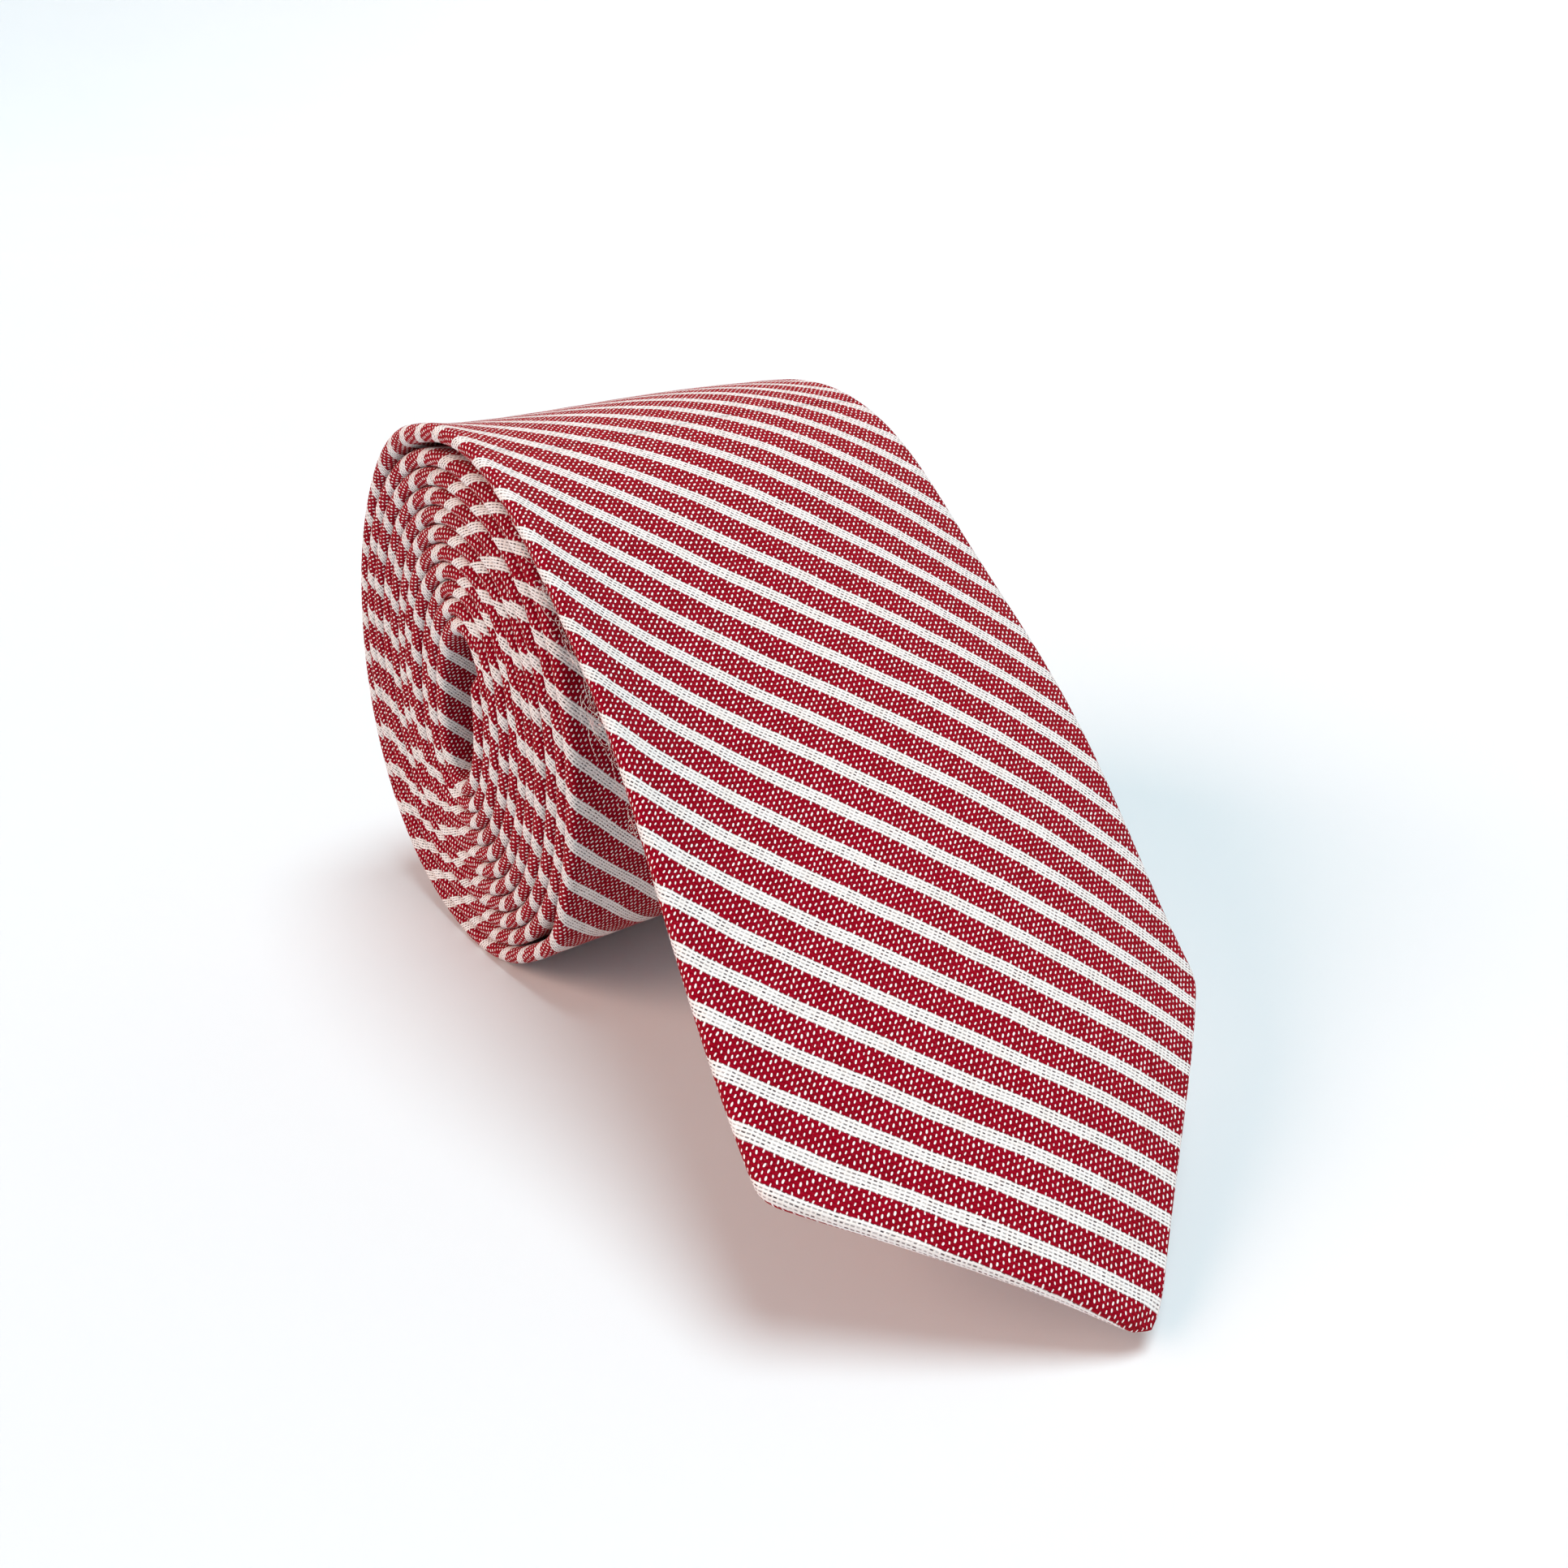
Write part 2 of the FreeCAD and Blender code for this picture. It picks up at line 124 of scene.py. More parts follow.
# In the roll the stripes wander along the cloth, back and forth every few turns.
CREEP = 0.0017
CREEP_TURNS = 2.65
CREEP_PEAK = 0.3
CREEP_START = 0.15

JOINTS = {joint["name"]: Vector(joint["pos_m"]) for joint in frame["joints"]}
LEFT_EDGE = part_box("rolled_blade_shell")[0].x


def smooth(edge_low, edge_high, value):
    part = np.clip((value - edge_low) / (edge_high - edge_low), 0, 1)
    return part * part * (3 - 2 * part)


def fading(size, span, station):
    """The full size before a span of stations, easing to nothing after it."""
    return size * (1 - smooth(*span, station))


def swell(size, middle, reach, station):
    """A smooth rise about a station."""
    return size * np.exp(-((station - middle) / reach) ** 2)


# ------------------------------------------------------------------ the path of the middle layer

def oval_point(turn):
    """Spiral about the roll's centre, turn turns inwards of the lift-off."""
    angle = LIFT_OFF_ANGLE - ROLL_TILT - 2 * math.pi * turn
    slack = FIRST_TURN_SLACK * np.clip(turn, 0, 1)
    outer_depth = (ROLL_DEPTH - THICKNESS) / 2
    outer_height = (ROLL_HEIGHT - THICKNESS) / 2
    share = turn / ROLL_TURNS
    depth = outer_depth - (outer_depth - CORE_DEPTH / 2 - FIRST_TURN_SLACK) * share - slack
    height = outer_height - (outer_height - CORE_HEIGHT / 2 - FIRST_TURN_SLACK) * share - slack
    stretch = np.abs(np.cos(angle) / depth) ** ROLL_SQUARENESS
    stretch += np.abs(np.sin(angle) / height) ** ROLL_SQUARENESS
    stand_off = GAP_WIDTH * np.exp(-((turn - GAP_TURN) / GAP_REACH) ** 2)
    radius = stretch ** (-1 / ROLL_SQUARENESS) + stand_off
    return np.stack([radius * np.cos(angle + ROLL_TILT), radius * np.sin(angle + ROLL_TILT)], -1)


def headings(points):
    steps = np.gradient(points, axis=0)
    return np.unwrap(np.arctan2(steps[:, 1], steps[:, 0]))


def free_headings(stations, lift_heading, lift_station):
    """Slope of the free blade: straight, drooping at its tip, bending over into the roll."""
    part = np.clip((stations - BEND_START) / (lift_station - BEND_START), 0, 1) ** BEND_SKEW
    bend = smooth(0, 1, part)
    droop = TIP_DROOP * np.clip(-stations / (BLADE_WIDTH / 2), 0, 1.2) ** 1.5
    return BLADE_SLOPE + droop + (lift_heading - BLADE_SLOPE) * bend


class Path:
    """Y, Z and heading of the middle layer against the station, from tip to tail."""

    def __init__(self):
        turns = np.linspace(0, ROLL_TURNS, int(ROLL_TURNS * SAMPLES_PER_TURN))
        rolled = oval_point(turns)
        heading = headings(rolled)
        lift_joint = JOINTS["blade_lift"]
        self.lift_off = LIFT_OFF
        rise = THICKNESS / 2
        top = np.array([lift_joint.y + rise * math.sin(heading[0]),
                        lift_joint.z - rise * math.cos(heading[0])])
        rolled += top - rolled[0]
        lengths = np.hypot(*np.diff(rolled, axis=0).T)
        rolled_stations = self.lift_off + np.concatenate([[0], np.cumsum(lengths)])
        free_stations = np.arange(self.lift_off, -BLADE_WIDTH / 2 - FREE_STEP, -FREE_STEP)[::-1]
        free_heading = free_headings(free_stations, heading[0], self.lift_off)
        steps = np.stack([np.cos(free_heading), np.sin(free_heading)], -1) * FREE_STEP
        walked = np.cumsum((steps[1:] + steps[:-1]) / 2, axis=0)
        free = np.concatenate([[[0, 0]], walked])
        free += top - free[-1]
        self.stations = np.concatenate([free_stations[:-1], rolled_stations])
        self.turns = np.concatenate([np.zeros(len(free_stations) - 1), turns])
        self.y = np.concatenate([free[:-1, 0], rolled[:, 0]])
        self.z = np.concatenate([free[:-1, 1], rolled[:, 1]])
        self.heading = np.concatenate([free_heading[:-1], heading])
        self.end = self.stations[-1]

    def at(self, station):
        return [np.interp(station, self.stations, line) for line in (self.y, self.z, self.heading)]

    def cloth_place(self, station):
        """Where a station's cloth comes from, in millimetres along the stripes' own measure."""
        turns = np.interp(station, self.stations, self.turns)
        wander = CREEP * np.cos(2 * math.pi * (turns - CREEP_PEAK) / CREEP_TURNS)
        return (station + wander * smooth(0, CREEP_START, turns)) / MM


PATH = Path()


def tie_width(station):
    marks = [0, TAPER_END, NECK_END, PATH.end]
    return np.interp(station, marks, [BLADE_WIDTH, NECK_WIDTH, NECK_WIDTH, TAIL_WIDTH])


def half_width(station):
    """Half of the tie's width, run in to its two points, the wide one rounded."""
    from_apex = station - POINT_APEX
    off_centre = np.clip(from_apex / TIP_ROUNDING - math.sqrt(2), -1, 0)
    rounded = TIP_ROUNDING * np.sqrt(1 - off_centre ** 2)
    straight = from_apex * BLADE_WIDTH / 2 / (POINT_CORNER - POINT_APEX)
    blade_point = np.where(from_apex < TIP_ROUNDING / math.sqrt(2), rounded, straight)
    tail_point = PATH.end - station + TAIL_END_WIDTH / 2
    side = tie_width(station) / 2
    shortfall = np.clip(CORNER_ROUNDING - np.abs(side - blade_point), 0, None)
    rounded_corner = np.minimum(side, blade_point) - shortfall ** 2 / (4 * CORNER_ROUNDING)
    return np.maximum(np.minimum(rounded_corner, tail_point), THINNEST)


PLAY = 0.00015
PLAY_WAVES = 44
SETTLING = 0.026


def middle_x(station):
    """The free blade swings aside; in the roll every left edge is level, but for a little play."""
    level = LEFT_EDGE + tie_width(station) / 2
    lean = LEAN * np.maximum(LEAN_END - station, 0)
    free = LEAN_END_X - lean - fading(SIDE_STEP, SIDE_STEP_SPAN, station)
    sway = (station - PATH.lift_off) * PLAY_WAVES
    play = PLAY * (np.sin(sway) + 0.7 * np.sin(2.3 * sway + 1.0))
    rolled = smooth(PATH.lift_off, PATH.lift_off + SETTLING, station)
    return free + (level + play - free) * rolled


def place(station, side, rise):
    """Point of the tie at a station, side across it and rise out of its middle layer."""
    y, z, heading = PATH.at(station)
    across = side / np.maximum(tie_width(station) / 2, MM)
    crown = fading(CROWN, CROWN_SPAN, station) * across ** 2
    skew = fading(SKEW, SKEW_SPAN, station) + swell(*SKEW_SWELL, station)
    wave = skew * (2.5 * across ** 3 - 1.5 * across)
    edges = 4 * swell(*EDGE_SWELL, station) * (across ** 4 - 0.86 * across ** 2)
    rise = rise + edges - crown - wave
    twist = fading(TIP_TWIST, TIP_TWIST_SPAN, station) + swell(*TWIST_SWELL, station)
    x = middle_x(station) + side * np.cos(twist) - rise * np.sin(twist)
    out = side * np.sin(twist) + rise * np.cos(twist)
    return np.stack([x, y - out * np.sin(heading), z + out * np.cos(heading)], -1)


# ------------------------------------------------------------------ meshes

def new_mesh(name, points, faces, uvs=None):
    """Mesh object. uvs holds one (across, along) pair in millimetres for each face corner."""
    mesh = bpy.data.meshes.new(name)
    mesh.from_pydata([tuple(p) for p in points], [], faces)
    if uvs is not None:
        layer = mesh.uv_layers.new(name="cloth")
        layer.data.foreach_set("uv", np.asarray(uvs, np.float32).ravel())
    mesh.polygons.foreach_set("use_smooth", [True] * len(mesh.polygons))
    mesh.update()
    piece = bpy.data.objects.new(name, mesh)
    bpy.context.scene.collection.objects.link(piece)
    return piece


def grid_faces(rows, columns, closed):
    """Quads of a grid of points, and for each face the column after its own."""
    row = np.arange(rows - 1)[:, None]
    column = np.arange(columns if closed else columns - 1)[None]
    following = (column + 1) % columns
    quads = np.stack([row * columns + column, row * columns + following,
                      (row + 1) * columns + following, (row + 1) * columns + column], -1)
    return quads.reshape(-1, 4), row, column, following


def tube(name, stations, loop):
    """Closed tube along the tie. loop(stations) gives side, rise and cloth position across."""
    side, rise, across = loop(stations)
    rows, columns = side.shape
    along = np.repeat(stations[:, None], columns, 1)
    points = place(along, side, rise).reshape(-1, 3)
    quads, row, column, following = grid_faces(rows, columns, True)
    ends = across[:, following[0]].copy()
    ends[:, -1] = across[:, -1] + (across[:, -1] - across[:, -2])
    starts = across[:, column[0]]
    u = np.stack([starts[:-1], ends[:-1], ends[1:], starts[1:]], -1)
    cloth = PATH.cloth_place(along)
    v = np.stack([cloth[:-1], cloth[:-1], cloth[1:], cloth[1:]], -1)
    uvs = np.stack([u / MM, v], -1)[:, :, ::-1].reshape(-1, 2)
    first_cap = tuple(range(columns))
    last_cap = tuple(range((rows - 1) * columns, rows * columns))[::-1]
    faces = [tuple(q) for q in quads[:, ::-1].tolist()] + [first_cap, last_cap]
    ring = np.arange(columns)
    caps = [np.stack([across[row][order] / MM, cloth[row][order]], -1)
            for row, order in ((0, ring), (rows - 1, ring[::-1]))]
    return new_mesh(name, points, faces, np.concatenate([uvs] + caps))


# A patch is thinner along its rim than inside, as a share of its thickness.
RIM_SHARE = 0.35


def strip(name, stations, sides, rise_top, thickness):
    """Thin closed patch lying along the tie. sides is (rows, columns) of side positions."""
    rows, columns = sides.shape
    along = np.repeat(stations[:, None], columns, 1)
    margin_row = np.minimum(np.arange(rows), np.arange(rows)[::-1])[:, None]
    margin_column = np.minimum(np.arange(columns), np.arange(columns)[::-1])[None]
    inside = (np.minimum(margin_row, margin_column) > 0).astype(float)
    outer = place(along, sides, rise_top - thickness * (RIM_SHARE + (1 - RIM_SHARE) * inside))
    inner = place(along, sides, rise_top + 0 * along)
    points = np.concatenate([outer.reshape(-1, 3), inner.reshape(-1, 3)])
    quads = grid_faces(rows, columns, False)[0]
    count = rows * columns
    faces = [tuple(q) for q in quads.tolist()] + [tuple(q[::-1] + count) for q in quads]
    rim = ([c for c in range(columns)] + [r * columns + columns - 1 for r in range(1, rows)]
           + [(rows - 1) * columns + c for c in range(columns - 2, -1, -1)]
           + [r * columns for r in range(rows - 2, 0, -1)])
    faces += [(b, a, a + count, b + count) for a, b in zip(rim, rim[1:] + rim[:1])]
    flat = np.stack([sides, along], -1).reshape(-1, 2) / MM
    both = np.concatenate([flat, flat])
    uvs = [both[index] for face in faces for index in face]
    return new_mesh(name, points, faces, uvs)


# The lining shows in a kite: low corner, widest place, and the peak where the flaps meet.
KITE_LOW = POINT_APEX + math.sqrt(2) * HEM
KITE_MIDDLE = 0.3 * HEM
KITE_HALF_WIDTH = BLADE_WIDTH / 2 - 1.3 * HEM


def kite_half_width(station):
    """Half width of the lining that shows between the point's hems and the two flaps."""
    return np.interp(station, [KITE_LOW, KITE_MIDDLE, TIPPING_PEAK], [0, KITE_HALF_WIDTH, 0])


# The tie thins to a share of its thickness over these lengths at its two points.
TIP_THINNING = 0.0035
TAIL_THINNING = 0.0025
THIN_SHARE = 0.4
LEAST_SPAN = 0.00002
FLAP_COLUMNS = 9
FOLD_COLUMNS = 9
FRONT_COLUMNS = 41
FLOOR_COLUMNS = 9


def envelope_loop(stations):
    """Cross-section of the folded cloth, from the back seam round the left fold to the seam again."""
    half = half_width(stations)[:, None]
    tip_share = np.clip((stations - POINT_APEX) / TIP_THINNING, THIN_SHARE, 1)[:, None]
    tail_share = np.clip((PATH.end - stations) / TAIL_THINNING, THIN_SHARE, 1)[:, None]
    body = THICKNESS / 2 * tip_share * tail_share
    radius = np.minimum(body * (1 + FOLD_PUFF), half)
    kite = kite_half_width(stations)[:, None]
    gap = np.minimum(np.maximum(kite, SEAM_HALF_GAP), np.maximum(half - radius, LEAST_SPAN))
    depth = np.where(kite > SEAM_HALF_GAP, LINING_DEPTH, SEAM_DEPTH) * np.clip(half / HEM, 0, 1)
    share = np.linspace(0, 1, FLAP_COLUMNS)[None]
    flat_end = half - radius
    flap_side = gap + (flat_end - gap) * share
    turn = np.linspace(0, math.pi, FOLD_COLUMNS + 2)[None, 1:-1]
    fold_side = flat_end + radius * np.sin(turn)
    fold_rise = -radius * np.cos(turn)
    front_side = flat_end * np.linspace(1, -1, FRONT_COLUMNS)[None]
    fold_length = math.pi * radius

    def puffed(side):
        return body * (1 + FOLD_PUFF * np.exp(-(flat_end - np.abs(side)) / FOLD_PUFF_REACH))

    right = [(flap_side, -puffed(flap_side), flat_end + fold_length + flat_end - flap_side),
             (fold_side, fold_rise, flat_end + fold_length * (1 - turn / math.pi))]
    left = [(-s[:, ::-1], r[:, ::-1], -a[:, ::-1]) for s, r, a in right[::-1]]
    seam_in = (gap * 0.98, -puffed(gap) + depth, flat_end * 2 + fold_length - gap)
    seam_out = (-seam_in[0], seam_in[1], -seam_in[2])
    floor_side = gap * np.linspace(-0.9, 0.9, FLOOR_COLUMNS)[None]
    floor = (floor_side, depth - puffed(gap) + 0 * floor_side, floor_side)
    front = (front_side, puffed(front_side), front_side)
    parts = [seam_in] + right + [front] + left + [seam_out, floor]
    return [np.concatenate([part[i] for part in parts], 1) for i in range(3)]


WOOL_INSET = 0.0006
WOOL_CLEARANCE = 0.0001
WOOL_THINNING = 0.004
WOOL_COLUMNS = 24


def squared_off(wave):
    """A sine or cosine pushed out towards 1, for a flat section with round corners."""
    return np.sign(wave) * np.abs(wave) ** 0.5


def filler_loop(stations):
    """Cross-section of the interlining, inside the cloth."""
    half = np.maximum(half_width(stations)[:, None] - WOOL_INSET, WOOL_CLEARANCE)
    rise = (THICKNESS / 2 - LINING_DEPTH - WOOL_CLEARANCE) * np.clip(half / WOOL_THINNING, 0.1, 1)
    angle = np.linspace(0, 2 * math.pi, WOOL_COLUMNS, endpoint=False)[None]
    side = half * squared_off(np.cos(angle))
    return [side, rise * squared_off(np.sin(angle)), side]


def rows_between(start, end, step):
    return np.linspace(start, end, max(3, int(round((end - start) / step)) + 1))


# ------------------------------------------------------------------ materials

class Nodes:
    """Short hand for building a node material."""

    def __init__(self, name):
        self.material = bpy.data.materials.new(name)
        self.material.use_nodes = True
        self.tree = self.material.node_tree
        self.tree.nodes.clear()
        self.output = self.tree.nodes.new("ShaderNodeOutputMaterial")

    def new(self, kind, **settings):
        node = self.tree.nodes.new(kind)
        for key, value in settings.items():
            setattr(node, key, value)
        return node

    def feed(self, socket, value):
        if hasattr(value, "is_output"):
            self.tree.links.new(value, socket)
        else:
            socket.default_value = value

    def math(self, operation, *values):
        node = self.new("ShaderNodeMath", operation=operation)
        for socket, value in zip(node.inputs, values):
            self.feed(socket, value)
        return node.outputs[0]

    def ramp(self, value, low, high, to_low=0.0, to_high=1.0):
        node = self.new("ShaderNodeMapRange", interpolation_type="SMOOTHSTEP")
        for socket, feed in zip(node.inputs, (value, low, high, to_low, to_high)):
            self.feed(socket, feed)
        return node.outputs[0]

    def mix(self, share, first, second):
        node = self.new("ShaderNodeMix", data_type="RGBA")
        self.feed(node.inputs[0], share)
        self.feed(node.inputs[6], first)
        self.feed(node.inputs[7], second)
        return node.outputs[2]

    def vector(self, x, y, z=0.0):
        node = self.new("ShaderNodeCombineXYZ")
        for socket, value in zip(node.inputs, (x, y, z)):
            self.feed(socket, value)
        return node.outputs[0]

    def random(self, x, y):
        """Three random numbers from 0 to 1 for a pair of whole numbers."""
        node = self.new("ShaderNodeTexWhiteNoise", noise_dimensions="2D")
        self.feed(node.inputs["Vector"], self.vector(x, y))
        split = self.new("ShaderNodeSeparateColor")
        self.feed(split.inputs[0], node.outputs["Color"])
        return split.outputs[0], split.outputs[1], split.outputs[2]

    def centred(self, value, reach):
        """Moves a number from the range 0 to 1 into -reach to reach."""
        return self.math("MULTIPLY", self.math("SUBTRACT", value, 0.5), 2 * reach)

    def noise(self, vector, scale, detail=2.0):
        node = self.new("ShaderNodeTexNoise")
        self.feed(node.inputs["Vector"], vector)
        node.inputs["Scale"].default_value = scale
        node.inputs["Detail"].default_value = detail
        return node.outputs["Fac"]

    def bump(self, height, distance, strength=1.0):
        node = self.new("ShaderNodeBump")
        node.inputs["Strength"].default_value = strength
        node.inputs["Distance"].default_value = distance
        self.feed(node.inputs["Height"], height)
        return node.outputs[0]

    def cloth_axes(self):
        """Cloth position in millimetres: across the tie and along it."""
        split = self.new("ShaderNodeSeparateXYZ")
        self.feed(split.inputs[0], self.new("ShaderNodeUVMap", uv_map="cloth").outputs[0])
        return split.outputs[0], split.outputs[1]

    def finish(self, colour, roughness, normal, sheen=0.0, gloss=0.25, sheen_tint=(1, 1, 1, 1)):
        shader = self.new("ShaderNodeBsdfPrincipled")
        self.feed(shader.inputs["Base Color"], colour)
        self.feed(shader.inputs["Roughness"], roughness)
        if normal is not None:
            self.feed(shader.inputs["Normal"], normal)
        shader.inputs["Sheen Weight"].default_value = sheen
        shader.inputs["Sheen Roughness"].default_value = 0.4
        shader.inputs["Sheen Tint"].default_value = sheen_tint
        shader.inputs["Specular IOR Level"].default_value = gloss
        self.tree.links.new(shader.outputs[0], self.output.inputs[0])
        return self.material


# The cloth's threads, in millimetres or in threads.
WARP_PITCH = 0.351
WEFT_PITCH = 0.539
# Where a white band begins, across the stripes from the middle of the line between the corners.
STRIPE_START = 57.5 / math.sqrt(2)
WHITE_ENDS = 4
REPEAT_ENDS = 12
FLOAT_LENGTH = 0.51
FLOAT_WIDTH = 0.172
PORE_LENGTH = 0.26
PORE_WIDTH = 0.21
CRIMSON = (0.295, 0.0008, 0.013, 1)
# Darker crimson, for the cloth's random mottle and for the painted shade in the grooves between threads.
DEEP_CRIMSON = (0.17, 0.0004, 0.005, 1)
PINK_FUZZ = (0.56, 0.10, 0.15, 1)
RED_HAZE = (1.0, 0.20, 0.16, 1)
WHITE = (0.88, 0.87, 0.86, 1)
CREAM = (0.80, 0.75, 0.70, 1)
PORE_SHADE = (0.035, 0.02, 0.03, 1)


def bias_axes(n):
    """Cloth position across the stripes and along them, a little uneven as woven cotton is."""
    across, along = n.cloth_axes()
    root = 1 / math.sqrt(2)
    u = n.math("MULTIPLY", n.math("ADD", across, along), root)
    w = n.math("MULTIPLY", n.math("SUBTRACT", along, across), root)
    spot = n.vector(u, w)
    u = n.math("ADD", u, n.centred(n.noise(spot, 0.12, 1.0), 0.20))
    u = n.math("ADD", u, n.centred(n.noise(spot, 1.3, 1.0), 0.05))
    w = n.math("ADD", w, n.centred(n.noise(spot, 0.7, 1.0), 0.14))
    return u, w


def weft_floats(n, ends, picks):
    """White weft showing over every second end, each float a little different. 0 to 1."""
    pick = n.math("ROUND", picks)
    pick_off = n.math("SUBTRACT", picks, pick)
    shifted = n.math("SUBTRACT", n.math("SUBTRACT", ends, 0.5), pick)
    pair = n.math("ROUND", n.math("MULTIPLY", shifted, 0.5))
    end_off = n.math("SUBTRACT", shifted, n.math("MULTIPLY", pair, 2))
    first, second, third = n.random(pair, pick)
    end_off = n.math("ADD", end_off, n.centred(first, 0.14))
    pick_off = n.math("ADD", pick_off, n.centred(second, 0.08))
    slant = n.centred(n.math("FRACT", n.math("MULTIPLY", first, 7.0)), 0.14)
    pick_off = n.math("ADD", pick_off, n.math("MULTIPLY", end_off, slant))
    size = n.math("ADD", n.math("MULTIPLY", third, 0.42), 0.76)
    length = n.math("DIVIDE", n.math("ABSOLUTE", end_off), n.math("MULTIPLY", size, FLOAT_LENGTH))
    width = n.math("DIVIDE", n.math("ABSOLUTE", pick_off), n.math("MULTIPLY", size, FLOAT_WIDTH))
    outline = n.math("ADD", n.math("POWER", length, 2.6), n.math("POWER", width, 2.3))
    return n.ramp(outline, 1.45, 0.75)


def pores(n, ends, picks):
    """Gaps where two ends and two picks part, some open and some closed, darkened with painted shade. 0 to
    1.
    """
    between_ends = n.math("ROUND", ends)
    between_picks = n.math("ADD", n.math("FLOOR", picks), 0.5)
    end_off = n.math("ABSOLUTE", n.math("SUBTRACT", ends, between_ends))
    pick_off = n.math("ABSOLUTE", n.math("SUBTRACT", picks, between_picks))
    first, second, _ = n.random(between_ends, n.math("ADD", between_picks, 0.25))
    narrow = n.ramp(n.math("DIVIDE", end_off, PORE_WIDTH), 1.25, 0.55)
    short = n.ramp(n.math("DIVIDE", pick_off, n.math("ADD", n.math("MULTIPLY", second, 0.12), PORE_LENGTH)),
                   1.25, 0.65)
    depth = n.math("ADD", n.math("MULTIPLY", n.math("POWER", first, 1.0), 0.72), 0.28)
    return n.math("MULTIPLY", n.math("MULTIPLY", narrow, short), depth)


def white_bands(n, ends):
    """1 on the four white ends of each repeat, 0 on the eight crimson ones."""
    repeats = 400 * REPEAT_ENDS + WHITE_ENDS / 2
    place_in_repeat = n.math("MODULO", n.math("ADD", ends, repeats), REPEAT_ENDS)
    soft = 0.10
    start = n.ramp(place_in_repeat, -soft, soft)
    stop = n.ramp(place_in_repeat, WHITE_ENDS - soft, WHITE_ENDS + soft)
    following = n.ramp(place_in_repeat, REPEAT_ENDS - soft, REPEAT_ENDS + soft)
    return n.math("MAXIMUM", n.math("SUBTRACT", start, stop), following)


def thread_round(n, threads):
    """Height of round threads lying side by side, 0 in the groove to 1 on the crown."""
    off = n.math("ABSOLUTE", n.math("SUBTRACT", n.math("FRACT", n.math("ADD", threads, 400)), 0.5))
    return n.math("SUBTRACT", 1.0, n.math("POWER", n.math("MULTIPLY", off, 2.0), 2.2))


def shirting():
    """Plain weave cut on the bias: 8 crimson and 4 white warp ends, white weft."""
    n = Nodes("striped_cotton")
    u, w = bias_axes(n)
    spot = n.vector(u, w)
    ends = n.math("DIVIDE", n.math("SUBTRACT", u, STRIPE_START), WARP_PITCH)
    picks = n.math("DIVIDE", w, WEFT_PITCH)
    floats = weft_floats(n, ends, picks)
    pore = pores(n, ends, picks)
    band = white_bands(n, ends)
    crown = thread_round(n, ends)
    mottle = n.noise(spot, 0.5, 3.0)
    crimson = n.mix(n.ramp(mottle, 0.35, 0.7, 0.0, 0.4), CRIMSON, DEEP_CRIMSON)
    # Painted shade: the crimson darkens towards the grooves between the round warp threads.
    crimson = n.mix(n.ramp(crown, 0.5, 0.0, 0.0, 0.45), crimson, DEEP_CRIMSON)
    fibres = n.noise(n.vector(n.math("MULTIPLY", u, 2.5), n.math("MULTIPLY", w, 6.0)), 1.4, 4.0)
    patches = n.noise(spot, 0.33, 2.0)
    fuzz = n.math("MULTIPLY", n.ramp(fibres, 0.56, 0.76), n.ramp(patches, 0.4, 0.72, 0.04, 0.5))
    crimson = n.mix(fuzz, crimson, PINK_FUZZ)
    whites = n.mix(n.ramp(mottle, 0.4, 0.7, 0.0, 0.35), WHITE, CREAM)
    # Painted shade in the gaps between the white threads.
    whites = n.mix(pore, whites, PORE_SHADE)
    ground = n.mix(band, crimson, whites)
    colour = n.mix(n.math("MULTIPLY", floats, n.math("SUBTRACT", 1.0, n.math("MULTIPLY", band, 0.85))),
                   ground, WHITE)
    height = n.math("MAXIMUM", floats, n.math("MULTIPLY", crown, 0.7))
    height = n.math("SUBTRACT", height, n.math("MULTIPLY", pore, 0.7))
    height = n.math("ADD", height, n.math("MULTIPLY", fibres, 0.25))
    normal = n.bump(height, 0.00014, 0.7)
    roughness = n.ramp(fibres, 0.2, 0.8, 0.8, 0.95)
    return n.finish(colour, roughness, normal, sheen=0.26, gloss=0.03, sheen_tint=RED_HAZE)


def cotton_lint():
    """Pale loose fibres, some of them pinkish."""
    n = Nodes("cotton_lint")
    where = n.new("ShaderNodeTexCoord").outputs["Object"]
    tone = n.noise(where, 900.0, 2.0)
    colour = n.mix(n.ramp(tone, 0.4, 0.65), (0.80, 0.74, 0.68, 1), (0.70, 0.40, 0.38, 1))
    return n.finish(colour, 0.9, n.bump(tone, 0.00001, 0.5), sheen=0.2, gloss=0.1)


SATIN_RIB = 0.22
TAPE_RIBS = 0.35
TAPE_CROSS = 0.28


def satin():
    """Crimson lining with fine floats along its length."""
    n = Nodes("crimson_satin")
    across, along = n.cloth_axes()
    floats = n.math("SINE", n.math("MULTIPLY", across, 2 * math.pi / SATIN_RIB))
    steps = n.noise(n.vector(n.math("MULTIPLY", across, 4.0), n.math("MULTIPLY", along, 0.8)), 1.2, 2.0)
    tone = n.noise(n.vector(across, along), 0.12, 2.0)
    colour = n.mix(n.ramp(steps, 0.3, 0.7), (0.20, 0.004, 0.016, 1), (0.33, 0.010, 0.030, 1))
    colour = n.mix(n.ramp(tone, 0.35, 0.7, 0.0, 0.3), colour, (0.13, 0.002, 0.010, 1))
    height = n.math("ADD", n.math("MULTIPLY", floats, 0.5), steps)
    return n.finish(colour, n.ramp(steps, 0.2, 0.8, 0.3, 0.45), n.bump(height, 0.00004, 0.6), 0.2)


